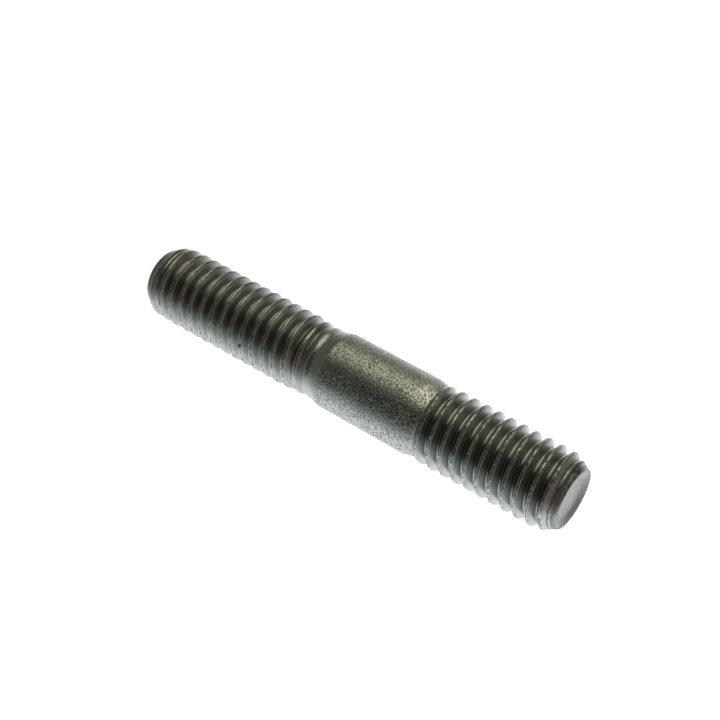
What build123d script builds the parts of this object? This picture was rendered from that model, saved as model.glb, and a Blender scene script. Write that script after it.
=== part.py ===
from build123d import *
import os
from math import ceil, cos, floor, pi, sin

# A double-ended stud, cold rolled from one round bar. It stands on its nut end, with the axis
# along +Z and the origin at the centre of that end's face. All sizes are in millimetres.

# --- driving dimensions ---
nominal_diameter = 6.0
crest_undersize = 0.06       # how far the rolled crests stay inside the nominal radius
shank_undersize = 0.063      # how far the plain shank stays inside the nominal radius
blank_depth = 0.255          # from the crests down to the bar that the threads were rolled on

pitch = 1.0
thread_depth_ratio = 0.40    # crest to the bottom of the groove, as a share of the pitch
crest_flat_ratio = 0.27      # the groove between two crest flats is a plain V

nut_thread_length = 15.45    # end face to the foot of the shank's cone, lower end
nut_cone_length = 1.1
shank_length = 7.7
tap_cone_length = 0.85
tap_thread_length = 11.5     # end face to the foot of the shank's cone, upper end

chamfer_depth = 0.69         # radial, from the crests to the edge of the end face
chamfer_length = 1.12        # along the axis

nut_runout_length = 2.4      # over this, next to its cone, each thread fades out
tap_runout_length = 1.4
plain_gap = 0.2              # plain bar between a cone and the last trace of the thread
nut_crest_height = 0.82      # where a crest line of each thread crosses the +X side
tap_crest_height = 0.75

# --- derived sizes ---
crest_radius = nominal_diameter / 2 - crest_undersize
shank_radius = nominal_diameter / 2 - shank_undersize
blank_radius = crest_radius - blank_depth
groove_radius = crest_radius - thread_depth_ratio * pitch
end_face_radius = crest_radius - chamfer_depth

nut_cone_foot = nut_thread_length
shank_bottom = nut_cone_foot + nut_cone_length
shank_top = shank_bottom + shank_length
tap_cone_foot = shank_top + tap_cone_length
stud_length = tap_cone_foot + tap_thread_length

points_per_turn = 18
cone_overlap = 0.25          # how far each cone runs on inside the bar that it stands on


def faded_thread(low, high, crest_height, full_form, plain):
    """A right-hand threaded bar over low to high, whose form fades from full_form to plain."""
    first_crest = crest_height + pitch * (floor((low - crest_height) / pitch) - 2)
    turns = ceil((high - first_crest) / pitch) + 2
    # the edges of one thread form: height above the crest line, and radius at full form
    form_edges = [
        (-crest_flat_ratio * pitch / 2, crest_radius),
        (crest_flat_ratio * pitch / 2, crest_radius),
        (pitch / 2, groove_radius),
    ]

    def point(edge, turn, share):
        height, full_radius = form_edges[edge]
        z = first_crest + height + pitch * (turn + share)
        left = min(max((plain - z) / (plain - full_form), 0.0), 1.0)
        radius = blank_radius + (full_radius - blank_radius) * left**2 * (3 - 2 * left)
        return Vector(radius * cos(2 * pi * share), radius * sin(2 * pi * share), z)

    def helix(edge, turn):
        if edge == len(form_edges):
            edge, turn = 0, turn + 1
        shares = [i / points_per_turn for i in range(points_per_turn + 1)]
        return Edge.make_spline([point(edge, turn, share) for share in shares], parameters=shares)

    def end_cap(turn):
        """Closes one end of the bar: a helicoid down to the axis, and the step of one pitch."""
        start, finish = point(0, turn, 0), point(0, turn, 1)
        axis_start, axis_finish = Vector(0, 0, start.Z), Vector(0, 0, finish.Z)
        step = [point(edge, turn, 0) for edge in range(len(form_edges))]
        outline = Polyline(*step, finish, axis_finish, axis_start, close=True)
        return [
            Face.make_surface_from_curves(Edge.make_line(axis_start, axis_finish), helix(0, turn)),
            Face(Wire(outline.edges())),
        ]

    strips = [
        Face.make_surface_from_curves(helix(edge, turn), helix(edge + 1, turn))
        for turn in range(turns)
        for edge in range(len(form_edges))
    ]
    return Solid(Shell(strips + end_cap(0) + end_cap(turns)))


def plain_shank():
    """The unthreaded middle: a cylinder with a cone at each end that runs on into the bar."""
    nut_slope = (shank_radius - blank_radius) / nut_cone_length
    tap_slope = (shank_radius - blank_radius) / tap_cone_length
    outline = Polyline(
        (0, nut_cone_foot - cone_overlap),
        (blank_radius - nut_slope * cone_overlap, nut_cone_foot - cone_overlap),
        (shank_radius, shank_bottom),
        (shank_radius, shank_top),
        (blank_radius - tap_slope * cone_overlap, tap_cone_foot + cone_overlap),
        (0, tap_cone_foot + cone_overlap),
        close=True,
    )
    return revolve(Plane.XZ * make_face(outline), Axis.Z)


def chamfered_outline():
    """A bar with the stud's flat ends and chamfers, whose cones carry on well past the crests."""
    outer_radius = end_face_radius + 2 * chamfer_depth
    outline = Polyline(
        (0, 0),
        (end_face_radius, 0),
        (outer_radius, 2 * chamfer_length),
        (outer_radius, stud_length - 2 * chamfer_length),
        (end_face_radius, stud_length),
        (0, stud_length),
        close=True,
    )
    return revolve(Plane.XZ * make_face(outline), Axis.Z)


def stud_bolt():
    nut_thread = faded_thread(
        0,
        nut_cone_foot,
        nut_crest_height,
        full_form=nut_cone_foot - nut_runout_length,
        plain=nut_cone_foot - plain_gap,
    )
    tap_thread = faded_thread(
        tap_cone_foot,
        stud_length,
        tap_crest_height,
        full_form=tap_cone_foot + tap_runout_length,
        plain=tap_cone_foot + plain_gap,
    )
    return (plain_shank() + nut_thread + tap_thread) & chamfered_outline()


os.makedirs("parts", exist_ok=True)
export_step(stud_bolt(), "parts/stud_bolt.step")
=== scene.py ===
from math import cos, pi, radians, sin, tan

import bpy
from mathutils import Matrix


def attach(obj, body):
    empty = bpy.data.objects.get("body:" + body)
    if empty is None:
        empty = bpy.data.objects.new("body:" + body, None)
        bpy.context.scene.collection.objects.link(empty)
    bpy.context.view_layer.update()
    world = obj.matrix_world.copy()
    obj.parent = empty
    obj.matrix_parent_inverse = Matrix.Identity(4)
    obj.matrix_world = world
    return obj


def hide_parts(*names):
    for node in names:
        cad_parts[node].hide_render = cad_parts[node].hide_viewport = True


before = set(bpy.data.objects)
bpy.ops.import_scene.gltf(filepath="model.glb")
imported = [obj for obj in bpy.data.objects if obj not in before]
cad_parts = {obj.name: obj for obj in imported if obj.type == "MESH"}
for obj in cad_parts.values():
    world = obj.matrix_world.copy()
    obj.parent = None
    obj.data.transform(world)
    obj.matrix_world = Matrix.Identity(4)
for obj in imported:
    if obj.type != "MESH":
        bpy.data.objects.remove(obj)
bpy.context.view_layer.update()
scene = bpy.context.scene


# --- Camera ---
# A long lens above the tap end, turned on its own axis so that the standing stud lies across the
# picture. It looks along +Y, down on the floor.
camera_place = (-1.438e-3, -90.934e-3, 59.957e-3)     # metres
camera_drop = 24.809         # degrees below the horizon
camera_turn = 118.383        # degrees about its own axis
camera_data = bpy.data.cameras.new("camera")
camera_data.sensor_width = 36.0
camera_data.lens = 69.157
camera_data.clip_start = 0.001
camera = bpy.data.objects.new("camera", camera_data)
camera.matrix_world = (
    Matrix.Translation(camera_place)
    @ Matrix.Rotation(radians(90 - camera_drop), 4, "X")
    @ Matrix.Rotation(radians(camera_turn), 4, "Z")
)
scene.collection.objects.link(camera)
scene.camera = camera
scene.view_settings.view_transform = "Standard"


# --- Floor ---
# A wide sheet of white paper that the stud stands on. It shines only where it is looked at, so it is
# white there and lights nothing, and it keeps the stud's soft shadow. The stud's own reflections see
# the tent in its place.


def linear(text):
    """The linear colour of an sRGB hex value."""
    channels = [int(text[i:i + 2], 16) / 255 for i in (1, 3, 5)]
    return [c / 12.92 if c <= 0.04045 else ((c + 0.055) / 1.055) ** 2.4 for c in channels] + [1.0]


def add(tree, kind, *values, **settings):
    """Adds a node, sets its properties, and fills its inputs in order. None leaves an input as it is,
    and a node stands for its first output."""
    new = tree.nodes.new(kind)
    for name, value in settings.items():
        setattr(new, name, value)
    for socket, value in zip(new.inputs, values):
        if value is None:
            continue
        if isinstance(value, bpy.types.Node):
            value = value.outputs[0]
        if isinstance(value, bpy.types.NodeSocket):
            tree.links.new(value, socket)
        else:
            socket.default_value = value
    return new


floor_size = 6.0             # metres
floor_glow = 0.86            # the share of white that it has of itself, before any light falls on it
floor_colour = "#E6E6E6"
floor_mesh = bpy.data.meshes.new("floor")
half = floor_size / 2
floor_mesh.from_pydata([(-half, -half, 0), (half, -half, 0), (half, half, 0), (-half, half, 0)],
                       [], [(0, 1, 2, 3)])
floor = bpy.data.objects.new("floor", floor_mesh)
scene.collection.objects.link(floor)
paper = bpy.data.materials.new("white_paper")
paper.use_nodes = True
tree = paper.node_tree
tree.nodes.clear()
path = add(tree, "ShaderNodeLightPath")
seen = add(tree, "ShaderNodeMath", path.outputs["Is Camera Ray"], path.outputs["Is Glossy Ray"],
           operation="MAXIMUM")
seen = add(tree, "ShaderNodeMath", seen, path.outputs["Is Transmission Ray"], operation="MAXIMUM")
glow = add(tree, "ShaderNodeMath", seen, floor_glow, operation="MULTIPLY")
glow = add(tree, "ShaderNodeEmission", linear("#FFFFFF"), glow)
matt = add(tree, "ShaderNodeBsdfDiffuse", linear(floor_colour))
add(tree, "ShaderNodeOutputMaterial", add(tree, "ShaderNodeAddShader", glow, matt))
floor_mesh.materials.append(paper)
floor.visible_glossy = False


# --- Light tent ---
# White cloth on one side of the stud, open on the other to a dark room with a warm window, a low grey
# panel and a brownish wall. Only the metal's reflections see it, where it also takes the floor's place.
tent_radius = 1.5            # metres
rings, spokes = 24, 48
cloth_way = 64.0             # degrees from +X: the middle of the white side
cloth_start, cloth_full = -0.20, 0.58  # cosines of the way from there, between which it comes up
cloth_colour = "#FFFFFF"
thin_left, thin_right = "#E2E4D0", "#CBE2DF"     # its thin part, towards -X and towards +X
thin_reach = 0.6             # how far along X those two colours are reached, as a share of the radius
foot_dark, foot_clear = -0.92, -0.55   # sines of the rise, between which the white comes up from below
foot_white = 0.12            # what is left of the white there
lid_way, lid_rise = 200.0, 62.0        # the middle of the dark opening above
lid_dark, lid_clear = 0.72, 0.04       # cosines of the way from it, between which it ends
lid_white = 0.14
room_colour = "#2A2926"
ground_start, ground_full = -0.46, -0.62         # sines of the rise
ground_colour = "#5A5851"
loft_start, loft_full = 0.40, 0.80
loft_colour = "#686259"
panels = (
    # degrees round and up, degrees out to where it is full and where it ends, how many times wider
    # it is than high, and its colour
    (313.0, 46.0, 8.0, 42.0, 1.0, "#6A5952"),      # the brownish wall
    (166.0, -8.0, 9.0, 32.0, 2.0, "#9A9D92"),      # the grey panel
    (212.0, -6.0, 21.0, 43.0, 1.5, "#F4F0D2"),     # the window
)
to_colours = (None,) * 5     # the inputs of a Mix node between its factor and its two colours


def pointing(way, rise=0.0):
    """The unit vector that way round from +X and that far above the horizon, in degrees."""
    way, rise = radians(way), radians(rise)
    return (cos(rise) * cos(way), cos(rise) * sin(way), sin(rise))


tent_mesh = bpy.data.meshes.new("light_tent")
verts = [(0, 0, -tent_radius)]
for ring in range(1, rings):
    rise = -90 + 180 * ring / rings
    verts += [tuple(tent_radius * c for c in pointing(360 * s / spokes, rise)) for s in range(spokes)]
verts.append((0, 0, tent_radius))
faces = [(0, 1 + (s + 1) % spokes, 1 + s) for s in range(spokes)]
for ring in range(rings - 2):
    low, high = 1 + ring * spokes, 1 + (ring + 1) * spokes
    faces += [(low + s, low + (s + 1) % spokes, high + (s + 1) % spokes, high + s)
              for s in range(spokes)]
last = 1 + (rings - 2) * spokes
faces += [(last + s, last + (s + 1) % spokes, len(verts) - 1) for s in range(spokes)]
tent_mesh.from_pydata(verts, [], faces)
tent = bpy.data.objects.new("light_tent", tent_mesh)
scene.collection.objects.link(tent)
cloth = bpy.data.materials.new("tent_cloth")
cloth.use_nodes = True
tree = cloth.node_tree
tree.nodes.clear()
place = add(tree, "ShaderNodeTexCoord").outputs["Object"]
way = add(tree, "ShaderNodeVectorMath", place, operation="NORMALIZE")
across, _, sine = add(tree, "ShaderNodeSeparateXYZ", way).outputs

# how white it is: the cloth comes up round its own side, less the dark foot and the opening above
facing = add(tree, "ShaderNodeVectorMath", way, pointing(cloth_way), operation="DOT_PRODUCT")
ramp = add(tree, "ShaderNodeMapRange", facing.outputs["Value"], cloth_start, cloth_full, 0.0, 1.0)
foot = add(tree, "ShaderNodeMapRange", sine, foot_dark, foot_clear, foot_white, 1.0,
           interpolation_type="SMOOTHSTEP")
lid = add(tree, "ShaderNodeVectorMath", way, pointing(lid_way, lid_rise), operation="DOT_PRODUCT")
lid = add(tree, "ShaderNodeMapRange", lid.outputs["Value"], lid_dark, lid_clear, lid_white, 1.0)
white = add(tree, "ShaderNodeMath", ramp, foot, operation="MULTIPLY")
white = add(tree, "ShaderNodeMath", white, lid, operation="MULTIPLY")

# the room, with its ground, its loft and its panels, each over the one before
ground = add(tree, "ShaderNodeMapRange", sine, ground_start, ground_full, 0.0, 1.0,
             interpolation_type="SMOOTHSTEP")
loft = add(tree, "ShaderNodeMapRange", sine, loft_start, loft_full, 0.0, 1.0,
           interpolation_type="SMOOTHSTEP")
colour = add(tree, "ShaderNodeMix", ground, *to_colours, linear(room_colour), linear(ground_colour),
             data_type="RGBA")
colour = add(tree, "ShaderNodeMix", loft, *to_colours, colour.outputs[2], linear(loft_colour),
             data_type="RGBA")
for panel_way, panel_rise, core, edge, flatness, panel_colour in panels:
    near = add(tree, "ShaderNodeVectorMath", way, (1.0, 1.0, flatness), operation="MULTIPLY")
    near = add(tree, "ShaderNodeVectorMath", near, operation="NORMALIZE")
    near = add(tree, "ShaderNodeVectorMath", near, pointing(panel_way, panel_rise),
               operation="DOT_PRODUCT")
    near = add(tree, "ShaderNodeMapRange", near.outputs["Value"], cos(radians(edge)),
               cos(radians(core)), 0.0, 1.0, interpolation_type="SMOOTHSTEP")
    colour = add(tree, "ShaderNodeMix", near, *to_colours, colour.outputs[2], linear(panel_colour),
                 data_type="RGBA")

# the cloth over them: tinted where it is thin, and white where it is full
tint = add(tree, "ShaderNodeMapRange", across, -thin_reach, thin_reach, 0.0, 1.0)
tint = add(tree, "ShaderNodeMix", tint, *to_colours, linear(thin_left), linear(thin_right),
           data_type="RGBA")
tint = add(tree, "ShaderNodeMix", ramp, *to_colours, tint.outputs[2], linear(cloth_colour),
           data_type="RGBA")
colour = add(tree, "ShaderNodeMix", white, *to_colours, colour.outputs[2], tint.outputs[2],
             data_type="RGBA")
add(tree, "ShaderNodeOutputMaterial", add(tree, "ShaderNodeEmission", colour.outputs[2], 1.0))
tent_mesh.materials.append(cloth)
tent.visible_camera = False
tent.visible_diffuse = False
tent.visible_shadow = False
tent.visible_transmission = False


# --- Air ---
# The light all round, beyond the tent: a plain soft level for what isn't metal, and white for the
# camera and for anything that mirrors or lets through the background.
air_level = 0.45
world = bpy.data.worlds.new("studio")
scene.world = world
world.use_nodes = True
tree = world.node_tree
tree.nodes.clear()
path = add(tree, "ShaderNodeLightPath")
seen = add(tree, "ShaderNodeMath", path.outputs["Is Camera Ray"], path.outputs["Is Glossy Ray"],
           operation="MAXIMUM")
seen = add(tree, "ShaderNodeMath", seen, path.outputs["Is Transmission Ray"], operation="MAXIMUM")
level = add(tree, "ShaderNodeMapRange", seen, 0.0, 1.0, air_level, 1.0)
add(tree, "ShaderNodeOutputWorld", add(tree, "ShaderNodeBackground", linear("#FFFFFF"), level))


# --- Stud ---
# One piece of round steel bar with a thread rolled on each end and a plain shank between them. It is
# cold rolled between flat dies and then tumbled, which leaves rounded crests, a fine seam along
# them, and a dull mottled skin.
flank_angle = radians(60)    # from the axis, on both threads
soft_angle = radians(35)     # a sharper edge between two faces is shaded as an edge
seam_reach = 1e-7            # metres, within which the grid's meeting edges are joined
millimetre = 0.001           # metres
stud_sizes = {               # millimetres, and shares of the thread's depth
    "Length": 36.6,
    "Nut crest radius": 2.905,
    "Tap crest radius": 2.9385,
    "Nut blank radius": 2.70,
    "Tap blank radius": 2.685,
    "Shank radius": 2.937,
    "Pitch": 1.0,
    "Nut crest rounding": 0.16,
    "Tap crest rounding": 0.19,
    "Nut root rounding": 0.10,
    "Tap root rounding": 0.09,
    "Nut cone foot": 15.3,
    "Shank bottom": 16.80,
    "Shank top": 24.30,
    "Tap cone foot": 25.45,
    "Nut cone bend": 2.0,
    "Tap cone bend": 1.15,
    "Nut fade start": 13.5,
    "Nut fade middle": 14.5,
    "Nut fade end": 16.3,
    "Nut fade share": 0.55,
    "Tap fade start": 25.9,
    "Tap fade middle": 25.4,
    "Tap fade end": 25.05,
    "Tap fade share": 0.25,
    "Tip fade start": 0.3,
    "Nut tip fade": 2.7,
    "Nut tip share": 0.25,
    "Nut tip lift": 0.12,
    "Tap tip fade": 1.7,
    "Tap tip share": 0.45,
    "Tap tip lift": 0.0,
    "Nut crest height": 0.89,
    "Tap crest height": 0.795,
    "Nut face radius": 2.24,
    "Tap face radius": 2.245,
    "Nut chamfer slope": 0.649,
    "Tap chamfer slope": 0.585,
    "Edge rounding": 0.05,
    "Cup depth": 0.28,
    "Cup start": 0.64,       # share of the way from the face's middle to its edge
    "Cup bend": 1.3,         # a power, as the two cones' bends are
    "Columns": 96.0,         # round the stud, and rows along it
    "Face rows": 14.0,
    "Nut rows": 500.0,
    "Shank rows": 98.0,
    "Tap rows": 384.0,
}
tree = bpy.data.node_groups.new("rolled_stud", "GeometryNodeTree")
tree.interface.new_socket("Geometry", in_out="OUTPUT", socket_type="NodeSocketGeometry")
for name, value in stud_sizes.items():
    socket = tree.interface.new_socket(name, in_out="INPUT", socket_type="NodeSocketFloat")
    socket.default_value = value
size = add(tree, "NodeGroupInput").outputs

# The grid: columns go round, and rows go from the middle of the nut end's face, up the side, to
# the middle of the tap end's face.
rows = size["Face rows"]
starts = []
for name in ("Nut rows", "Shank rows", "Tap rows", "Face rows"):
    starts.append(rows)
    rows = add(tree, "ShaderNodeMath", rows, size[name], operation="ADD")
nut_row, shank_row, tap_row, end_row = starts
grid = add(tree, "GeometryNodeMeshGrid", 1.0, 1.0,
           add(tree, "ShaderNodeMath", size["Columns"], 1.0, operation="ADD"),
           add(tree, "ShaderNodeMath", rows, 1.0, operation="ADD"))
at = add(tree, "ShaderNodeSeparateXYZ", add(tree, "GeometryNodeInputPosition"))
turn = add(tree, "ShaderNodeMath", at.outputs[0], 0.5, operation="ADD")
row = add(tree, "ShaderNodeMath", add(tree, "ShaderNodeMath", at.outputs[1], 0.5, operation="ADD"),
          rows, operation="MULTIPLY")
angle = add(tree, "ShaderNodeMath", turn, 2 * pi, operation="MULTIPLY")

# Height of each row: the nut thread, the shank and the tap thread each have their own spacing.
nut_part = add(tree, "ShaderNodeMapRange", row, nut_row, shank_row, 0.0, size["Nut cone foot"])
shank_part = add(tree, "ShaderNodeMapRange", row, shank_row, tap_row, 0.0,
                 add(tree, "ShaderNodeMath", size["Tap cone foot"], size["Nut cone foot"],
                     operation="SUBTRACT"))
tap_part = add(tree, "ShaderNodeMapRange", row, tap_row, end_row, 0.0,
               add(tree, "ShaderNodeMath", size["Length"], size["Tap cone foot"],
                   operation="SUBTRACT"))
height = add(tree, "ShaderNodeMath", nut_part, shank_part, operation="ADD")
height = add(tree, "ShaderNodeMath", height, tap_part, operation="ADD")

# The bar: the blank that the threads are rolled on, and the thicker shank between two cones.
rise = add(tree, "ShaderNodeMapRange", height, size["Nut cone foot"], size["Shank bottom"], 0.0, 1.0)
rise = add(tree, "ShaderNodeMath", rise, size["Nut cone bend"], operation="POWER")
fall = add(tree, "ShaderNodeMapRange", height, size["Tap cone foot"], size["Shank top"], 0.0, 1.0)
fall = add(tree, "ShaderNodeMath", fall, size["Tap cone bend"], operation="POWER")
rise = add(tree, "ShaderNodeMapRange", rise, 0.0, 1.0, size["Nut blank radius"],
           size["Shank radius"])
fall = add(tree, "ShaderNodeMapRange", fall, 0.0, 1.0, size["Tap blank radius"],
           size["Shank radius"])
radius = add(tree, "ShaderNodeMath", rise, fall, operation="MINIMUM")

# Each thread: the distance along the axis to the nearest crest line gives how deep the profile is
# there, as a rounded crest, a straight flank and a rounded root.
half_pitch = add(tree, "ShaderNodeMath", size["Pitch"], 0.5, operation="MULTIPLY")
for end in ("Nut", "Tap"):
    crest_arc, root_arc = size[end + " crest rounding"], size[end + " root rounding"]
    crest_end = add(tree, "ShaderNodeMath", crest_arc, sin(flank_angle), operation="MULTIPLY")
    root_start = add(tree, "ShaderNodeMath", root_arc, -sin(flank_angle), half_pitch,
                     operation="MULTIPLY_ADD")
    lead = add(tree, "ShaderNodeMath", turn, size["Pitch"], size[end + " crest height"],
               operation="MULTIPLY_ADD")
    off = add(tree, "ShaderNodeMath", height, lead, operation="SUBTRACT")
    off = add(tree, "ShaderNodeMath", off, size["Pitch"], operation="DIVIDE")
    off = add(tree, "ShaderNodeMath", off, 0.5, -0.5, operation="WRAP")
    off = add(tree, "ShaderNodeMath", off, operation="ABSOLUTE")
    off = add(tree, "ShaderNodeMath", off, size["Pitch"], operation="MULTIPLY")
    # crest: rounding - sqrt(rounding^2 - off^2), up to where the flank leaves the arc
    near = add(tree, "ShaderNodeMath", off, crest_end, operation="MINIMUM")
    near = add(tree, "ShaderNodeMath", near, near, operation="MULTIPLY")
    near = add(tree, "ShaderNodeMath",
               add(tree, "ShaderNodeMath", crest_arc, crest_arc, operation="MULTIPLY"), near,
               operation="SUBTRACT")
    near = add(tree, "ShaderNodeMath", near, operation="SQRT")
    crest = add(tree, "ShaderNodeMath", crest_arc, near, operation="SUBTRACT")
    # flank: straight between the two arcs
    flank = add(tree, "ShaderNodeClamp", off, crest_end, root_start)
    flank = add(tree, "ShaderNodeMath", flank, crest_end, operation="SUBTRACT")
    depth = add(tree, "ShaderNodeMath", flank, tan(flank_angle), crest, operation="MULTIPLY_ADD")
    # root: sqrt(rounding^2 - distance^2) - rounding * cos(flank angle), from where the flank ends
    far = add(tree, "ShaderNodeMath", off, root_start, operation="MAXIMUM")
    far = add(tree, "ShaderNodeMath", half_pitch, far, operation="SUBTRACT")
    far = add(tree, "ShaderNodeMath", far, far, operation="MULTIPLY")
    far = add(tree, "ShaderNodeMath",
              add(tree, "ShaderNodeMath", root_arc, root_arc, operation="MULTIPLY"), far,
              operation="SUBTRACT")
    far = add(tree, "ShaderNodeMath", far, operation="SQRT")
    root = add(tree, "ShaderNodeMath", root_arc, -cos(flank_angle), far, operation="MULTIPLY_ADD")
    depth = add(tree, "ShaderNodeMath", depth, root, operation="ADD")
    shape = add(tree, "ShaderNodeMath", size[end + " crest radius"], depth, operation="SUBTRACT")
    shape = add(tree, "ShaderNodeMath", shape, size[end + " blank radius"], operation="SUBTRACT")
    # it fades towards the shank in two stages, and again towards the tip
    inner = add(tree, "ShaderNodeMapRange", height, size[end + " fade end"], size[end + " fade middle"],
                0.0, add(tree, "ShaderNodeMath", 1.0, size[end + " fade share"], operation="SUBTRACT"),
                interpolation_type="SMOOTHSTEP")
    outer = add(tree, "ShaderNodeMapRange", height, size[end + " fade middle"],
                size[end + " fade start"], 0.0, size[end + " fade share"],
                interpolation_type="SMOOTHSTEP")
    full = add(tree, "ShaderNodeMath", inner, outer, operation="ADD")
    tip = height if end == "Nut" else add(tree, "ShaderNodeMath", size["Length"], height,
                                          operation="SUBTRACT")
    tip = add(tree, "ShaderNodeMapRange", tip, size["Tip fade start"], size[end + " tip fade"],
              size[end + " tip share"], 1.0, interpolation_type="SMOOTHSTEP")
    full = add(tree, "ShaderNodeMath", full, tip, operation="MULTIPLY")
    radius = add(tree, "ShaderNodeMath", shape, full, radius, operation="MULTIPLY_ADD")
    # where it has faded at the tip, the bar keeps the steel that wasn't rolled away
    tip = add(tree, "ShaderNodeMath", 1.0, tip, operation="SUBTRACT")
    radius = add(tree, "ShaderNodeMath", tip, size[end + " tip lift"], radius,
                 operation="MULTIPLY_ADD")

# The chamfers cut the crests off near each end, and their edges are a little rounded.
nut_cut = add(tree, "ShaderNodeMath", height, size["Nut chamfer slope"], size["Nut face radius"],
              operation="MULTIPLY_ADD")
tap_cut = add(tree, "ShaderNodeMath", size["Length"], height, operation="SUBTRACT")
tap_cut = add(tree, "ShaderNodeMath", tap_cut, size["Tap chamfer slope"], size["Tap face radius"],
              operation="MULTIPLY_ADD")
radius = add(tree, "ShaderNodeMath", radius, nut_cut, size["Edge rounding"], operation="SMOOTH_MIN")
radius = add(tree, "ShaderNodeMath", radius, tap_cut, size["Edge rounding"], operation="SMOOTH_MIN")

# The first and last rows close the faces, which rolling leaves slightly cupped.
nut_share = add(tree, "ShaderNodeMapRange", row, 0.0, nut_row, 0.0, 1.0)
tap_share = add(tree, "ShaderNodeMapRange", row, rows, end_row, 0.0, 1.0)
share = add(tree, "ShaderNodeMath", nut_share, tap_share, operation="MULTIPLY")
radius = add(tree, "ShaderNodeMath", radius, share, operation="MULTIPLY")
for part, sign in ((nut_share, 1.0), (tap_share, -1.0)):
    cup = add(tree, "ShaderNodeMapRange", part, size["Cup start"], 1.0, 0.0, 1.0)
    cup = add(tree, "ShaderNodeMath", cup, size["Cup bend"], operation="POWER")
    cup = add(tree, "ShaderNodeMapRange", cup, 0.0, 1.0, size["Cup depth"], 0.0)
    height = add(tree, "ShaderNodeMath", cup, sign, height, operation="MULTIPLY_ADD")

# The sheet is wrapped round the axis, and its meeting edges and the two middles are joined.
east = add(tree, "ShaderNodeMath", angle, operation="COSINE")
east = add(tree, "ShaderNodeMath", radius, east, operation="MULTIPLY")
north = add(tree, "ShaderNodeMath", angle, operation="SINE")
north = add(tree, "ShaderNodeMath", radius, north, operation="MULTIPLY")
point = add(tree, "ShaderNodeCombineXYZ", east, north, height)
point = add(tree, "ShaderNodeVectorMath", point, operation="SCALE")
point.inputs["Scale"].default_value = millimetre
body = add(tree, "GeometryNodeSetPosition", grid, None, point)
body = add(tree, "GeometryNodeMergeByDistance", body, None, seam_reach)
smooth = add(tree, "GeometryNodeSetShadeSmooth", body, None, True, domain="FACE")
soft_edge = add(tree, "FunctionNodeCompare", add(tree, "GeometryNodeInputMeshEdgeAngle"),
                soft_angle, operation="LESS_THAN")
smooth = add(tree, "GeometryNodeSetShadeSmooth", smooth, soft_edge, True, domain="EDGE")
finish = add(tree, "GeometryNodeSetMaterial", add(tree, "GeometryNodeRealizeInstances", smooth))
add(tree, "NodeGroupOutput", finish)

# Tumbled plain steel: a bare metal. Tumbling leaves the shank and the crests with a fine pitted skin
# that breaks up what they reflect, and rolling leaves the flanks and roots smooth and shinier.
steel_colour = "#CACECB"
# millimetres: the grain is really about 0.05, and it is drawn coarser so that it shows
grain_size = 0.14
pit_size = 0.15
seam_dash = 0.22
cloud_scale = 0.9            # light and dark clouds a millimetre
drawn_out = 0.5              # the grain's scale round the threads, against that on the shank
# the values of each noise between which it goes from none to full
noise_span = (0.30, 0.70)
pit_span = (0.54, 0.61)
gap_span = (0.46, 0.56)
# where each finish starts and where it is full: up the axis, in millimetres
nut_finish = (15.6, 15.1)
tap_finish = (25.2, 25.4)
shank_skin_low = (16.70, 16.78)
shank_skin_high = (25.35, 25.15)
tip_skin = (35.1, 35.5)
# the same, out from the axis, in millimetres
face_finish = (2.28, 2.20)
rim_finish = (2.12, 2.18)
# the same, away from the nearest crest line, or up from it for the painted groove shade, in shares of
# the pitch
crest_skin = (0.20, 0.09)
seam_line = (0.055, 0.030)
shade_under_top, shade_under_foot = (-0.12, -0.22), (-0.46, -0.40)
shade_above_top, shade_above_foot = (0.28, 0.42), (0.49, 0.45)
nut_seam_shift, nut_shade_shift = -0.09, 0.12      # on the long thread
# how much of the rough skin each place has, where the shank has it all
cone_share, tip_share, face_share, nut_crest_share = 0.25, 0.45, 0.25, 0.35
grain_contrast = (-0.31, 0.29)
cloud_contrast = (0.94, 1.06)
# painted highlight on the cone beside the short thread: its middle, how far out it ends and where it is
# full, and how much brighter it makes the steel
highlight_place, highlight_reach = (-1.25, -2.60, 24.75), (1.5, 0.5)       # millimetres
highlight_gain = 0.32
darkest_shade_line = -0.9             # millimetres along X: the line on the long thread where the painted shade in the grooves is darkest
darkest_shade_reach, darkest_shade_change = (0.7, 1.5), (0.29, -0.50)
lighter_side_reach, lighter_side_change = (-1.9, -2.6), -0.45
speck_place, speck_reach = (1.864, -2.222, 9.78), (0.22, 0.11)
shank_rough, tap_rough = 0.23, 0.20
# the last of these goes with the painted shade in the thread grooves
nut_smoother, skin_rougher, pits_rougher, groove_shade_rougher = -0.02, 0.05, 0.12, 0.12
skin_relief = 34e-6          # metres, between the ends of the noise's scale
pit_relief = -0.5            # of that

steel = bpy.data.materials.new("tumbled_steel")
steel.use_nodes = True
skin = steel.node_tree
shader = skin.nodes["Principled BSDF"]
spot = add(skin, "ShaderNodeVectorMath", add(skin, "ShaderNodeTexCoord").outputs["Object"],
           operation="SCALE")
spot.inputs["Scale"].default_value = 1 / millimetre
x, y, z = add(skin, "ShaderNodeSeparateXYZ", spot).outputs

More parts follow.
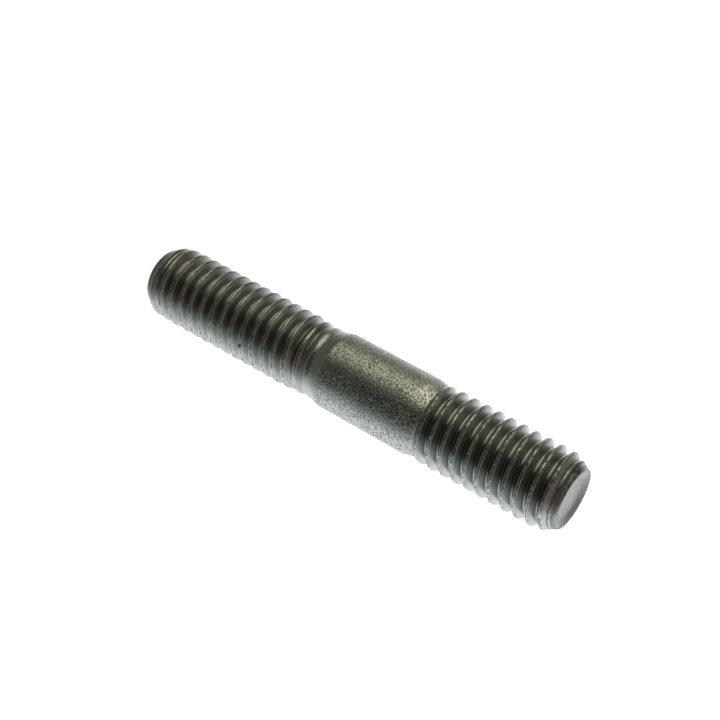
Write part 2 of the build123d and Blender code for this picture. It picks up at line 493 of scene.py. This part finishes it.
# where the faces and the threads are, and how far along the axis the nearest crest line lies
out = add(skin, "ShaderNodeVectorMath", spot, (1.0, 1.0, 0.0), operation="MULTIPLY")
out = add(skin, "ShaderNodeVectorMath", out, operation="LENGTH").outputs["Value"]
face = add(skin, "ShaderNodeMapRange", out, *face_finish, 0.0, 1.0)
side = add(skin, "ShaderNodeMath", 1.0, face, operation="SUBTRACT")
on_nut = add(skin, "ShaderNodeMapRange", z, *nut_finish, 0.0, 1.0)
on_nut = add(skin, "ShaderNodeMath", on_nut, side, operation="MULTIPLY")
on_tap = add(skin, "ShaderNodeMapRange", z, *tap_finish, 0.0, 1.0)
on_tap = add(skin, "ShaderNodeMath", on_tap, side, operation="MULTIPLY")
threaded = add(skin, "ShaderNodeMath", on_nut, on_tap, operation="ADD")
start = add(skin, "ShaderNodeMapRange", on_tap, 0.0, 1.0, stud_sizes["Nut crest height"],
            stud_sizes["Tap crest height"])
turned = add(skin, "ShaderNodeMath", y, x, operation="ARCTAN2")
lead = add(skin, "ShaderNodeMath", turned, 1 / (2 * pi), start, operation="MULTIPLY_ADD")
off = add(skin, "ShaderNodeMath", z, lead, operation="SUBTRACT")
off = add(skin, "ShaderNodeMath", off, 0.5, -0.5, operation="WRAP")
beside = add(skin, "ShaderNodeMath", off, operation="ABSOLUTE")

# the rough skin: all over the shank, some of it on the cone, the faces and the short thread's tip,
# and a narrow band along each crest
low = add(skin, "ShaderNodeMapRange", z, *shank_skin_low, cone_share, 1.0)
high = add(skin, "ShaderNodeMapRange", z, *shank_skin_high, 0.0, 1.0)
rough_skin = add(skin, "ShaderNodeMath", low, high, operation="MULTIPLY")
tip = add(skin, "ShaderNodeMapRange", z, *tip_skin, 0.0, tip_share)
tip = add(skin, "ShaderNodeMath", tip, side, operation="MULTIPLY")
rough_skin = add(skin, "ShaderNodeMath", rough_skin, tip, operation="MAXIMUM")
worn = add(skin, "ShaderNodeMath", face, face_share, operation="MULTIPLY")
rough_skin = add(skin, "ShaderNodeMath", rough_skin, worn, operation="MAXIMUM")
crest = add(skin, "ShaderNodeMapRange", beside, *crest_skin, 0.0, 1.0,
            interpolation_type="SMOOTHSTEP")
crest_share = add(skin, "ShaderNodeMath", on_nut, nut_crest_share, on_tap, operation="MULTIPLY_ADD")
crest = add(skin, "ShaderNodeMath", crest, crest_share, operation="MULTIPLY")
rough_skin = add(skin, "ShaderNodeMath", rough_skin, crest, operation="MAXIMUM")

# grain, pits and clouds: round on the shank, and drawn out round the threads
drawn = add(skin, "ShaderNodeMapRange", threaded, 0.0, 1.0, 1.0, drawn_out)
stretch = add(skin, "ShaderNodeCombineXYZ", drawn, drawn, 1.0)
grain_at = add(skin, "ShaderNodeVectorMath", spot, stretch, operation="MULTIPLY")
grain = add(skin, "ShaderNodeTexNoise", grain_at, None, 1 / grain_size, 2.0, 0.6)
pits = add(skin, "ShaderNodeTexNoise", grain_at, None, 1 / pit_size, 3.0, 0.7)
pits = add(skin, "ShaderNodeMapRange", pits, *pit_span, 0.0, 1.0, interpolation_type="SMOOTHSTEP")
pits = add(skin, "ShaderNodeMath", pits, rough_skin, operation="MULTIPLY")
cloud = add(skin, "ShaderNodeTexNoise", spot, None, cloud_scale, 3.0, 0.6)
cloud = add(skin, "ShaderNodeMapRange", cloud, *noise_span, *cloud_contrast)
tone = add(skin, "ShaderNodeMapRange", grain, *noise_span, *grain_contrast)
tone = add(skin, "ShaderNodeMath", tone, rough_skin, 1.0, operation="MULTIPLY_ADD")
tone = add(skin, "ShaderNodeMath", tone, cloud, operation="MULTIPLY")

# painted highlight: a patch on one side of the cone beside the short thread is painted brighter,
# standing in for the highlight that grows stronger there
painted_highlight = add(skin, "ShaderNodeVectorMath", spot, highlight_place, operation="DISTANCE")
painted_highlight = add(skin, "ShaderNodeMapRange", painted_highlight.outputs["Value"], *highlight_reach, 0.0, highlight_gain,
             interpolation_type="SMOOTHSTEP")
painted_highlight = add(skin, "ShaderNodeMath", painted_highlight, high, 1.0, operation="MULTIPLY_ADD")
tone = add(skin, "ShaderNodeMath", tone, painted_highlight, operation="MULTIPLY")

# painted shade in the thread grooves: the flank under each ridge and the corner above the next one down
# are painted darker, and made a little rougher
under_ridge = add(skin, "ShaderNodeMapRange", off, *shade_under_top, 0.0, 1.0, interpolation_type="SMOOTHSTEP")
under_ridge_foot = add(skin, "ShaderNodeMapRange", off, *shade_under_foot, 0.0, 1.0, interpolation_type="SMOOTHSTEP")
under_ridge = add(skin, "ShaderNodeMath", under_ridge, under_ridge_foot, operation="MULTIPLY")
above_ridge = add(skin, "ShaderNodeMath", on_nut, nut_shade_shift, off, operation="MULTIPLY_ADD")
above_ridge = add(skin, "ShaderNodeMapRange", above_ridge, *shade_above_top, 0.0, 1.0, interpolation_type="SMOOTHSTEP")
edge = add(skin, "ShaderNodeMapRange", off, *shade_above_foot, 0.0, 1.0, interpolation_type="SMOOTHSTEP")
above_ridge = add(skin, "ShaderNodeMath", above_ridge, edge, operation="MULTIPLY")
painted_groove_shade = add(skin, "ShaderNodeMath", under_ridge, above_ridge, operation="MAXIMUM")
painted_groove_shade = add(skin, "ShaderNodeMath", painted_groove_shade, threaded, operation="MULTIPLY")
# on the long thread the painted shade is darkest along one line, lighter on both sides of it, and
# lightest towards -X
shade_strength = add(skin, "ShaderNodeMath", x, darkest_shade_line, operation="SUBTRACT")
shade_strength = add(skin, "ShaderNodeMath", shade_strength, operation="ABSOLUTE")
shade_strength = add(skin, "ShaderNodeMapRange", shade_strength, *darkest_shade_reach, *darkest_shade_change)
lighter_side = add(skin, "ShaderNodeMapRange", x, *lighter_side_reach, 0.0, lighter_side_change)
shade_strength = add(skin, "ShaderNodeMath", shade_strength, lighter_side, operation="ADD")
shade_strength = add(skin, "ShaderNodeMath", shade_strength, on_nut, 1.0, operation="MULTIPLY_ADD")
painted_groove_shade = add(skin, "ShaderNodeMath", painted_groove_shade, shade_strength, operation="MULTIPLY")

# seam: where the two flowing crests met, as a broken dark line
seam = add(skin, "ShaderNodeMath", on_nut, nut_seam_shift, off, operation="MULTIPLY_ADD")
seam = add(skin, "ShaderNodeMath", seam, operation="ABSOLUTE")
seam = add(skin, "ShaderNodeMapRange", seam, *seam_line, 0.0, 1.0, interpolation_type="SMOOTHSTEP")
gaps = add(skin, "ShaderNodeTexNoise", grain_at, None, 1 / seam_dash, 1.0, 0.5)
gaps = add(skin, "ShaderNodeMapRange", gaps, *gap_span, 0.0, 1.0, interpolation_type="SMOOTHSTEP")
seam = add(skin, "ShaderNodeMath", seam, gaps, operation="MULTIPLY")
seam = add(skin, "ShaderNodeMath", seam, threaded, operation="MULTIPLY")
# a fine dark edge round each face
rim = add(skin, "ShaderNodeMapRange", out, *rim_finish, 0.0, 1.0)
rim = add(skin, "ShaderNodeMath", rim, face, operation="MULTIPLY")
# one small speck of dirt on the long thread
speck = add(skin, "ShaderNodeVectorMath", spot, speck_place, operation="DISTANCE")
speck = add(skin, "ShaderNodeMapRange", speck.outputs["Value"], *speck_reach, 0.0, 1.0)

# each mark, with the share of the steel's tone that is left where it is full; the grooves' mark among
# them is painted shade
for mark, left in ((pits, 0.50), (painted_groove_shade, 0.53), (seam, 0.45), (speck, 0.15), (face, 0.74), (rim, 0.62)):
    mark = add(skin, "ShaderNodeMapRange", mark, 0.0, 1.0, 1.0, left)
    tone = add(skin, "ShaderNodeMath", tone, mark, operation="MULTIPLY")
colour = add(skin, "ShaderNodeVectorMath", linear(steel_colour)[:3], operation="SCALE")
skin.links.new(tone.outputs[0], colour.inputs["Scale"])
skin.links.new(colour.outputs[0], shader.inputs["Base Color"])
rough = add(skin, "ShaderNodeMapRange", on_tap, 0.0, 1.0, shank_rough, tap_rough)
for place, change in ((on_nut, nut_smoother), (rough_skin, skin_rougher), (pits, pits_rougher),
                      (painted_groove_shade, groove_shade_rougher)):
    rough = add(skin, "ShaderNodeMath", place, change, rough, operation="MULTIPLY_ADD")
skin.links.new(rough.outputs[0], shader.inputs["Roughness"])
relief = add(skin, "ShaderNodeMath", grain, rough_skin, operation="MULTIPLY")
relief = add(skin, "ShaderNodeMath", pits, pit_relief, relief, operation="MULTIPLY_ADD")
bump = add(skin, "ShaderNodeBump")
bump.inputs["Distance"].default_value = skin_relief
skin.links.new(relief.outputs[0], bump.inputs["Height"])
skin.links.new(bump.outputs[0], shader.inputs["Normal"])
shader.inputs["Metallic"].default_value = 1.0
finish.inputs["Material"].default_value = steel

blank = bpy.data.meshes.new("blank")
stud = bpy.data.objects.new("stud", blank)
scene.collection.objects.link(stud)
rolling = stud.modifiers.new("rolled_stud", "NODES")
rolling.node_group = tree
for item in tree.interface.items_tree:
    if item.in_out == "INPUT":
        rolling[item.identifier] = stud_sizes[item.name]
bpy.context.view_layer.update()
rolled = bpy.data.meshes.new_from_object(
    stud.evaluated_get(bpy.context.evaluated_depsgraph_get()))
stud.modifiers.remove(rolling)
stud.data = rolled
rolled.name = "stud"
bpy.data.meshes.remove(blank)
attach(stud, "root")
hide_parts("stud_bolt")
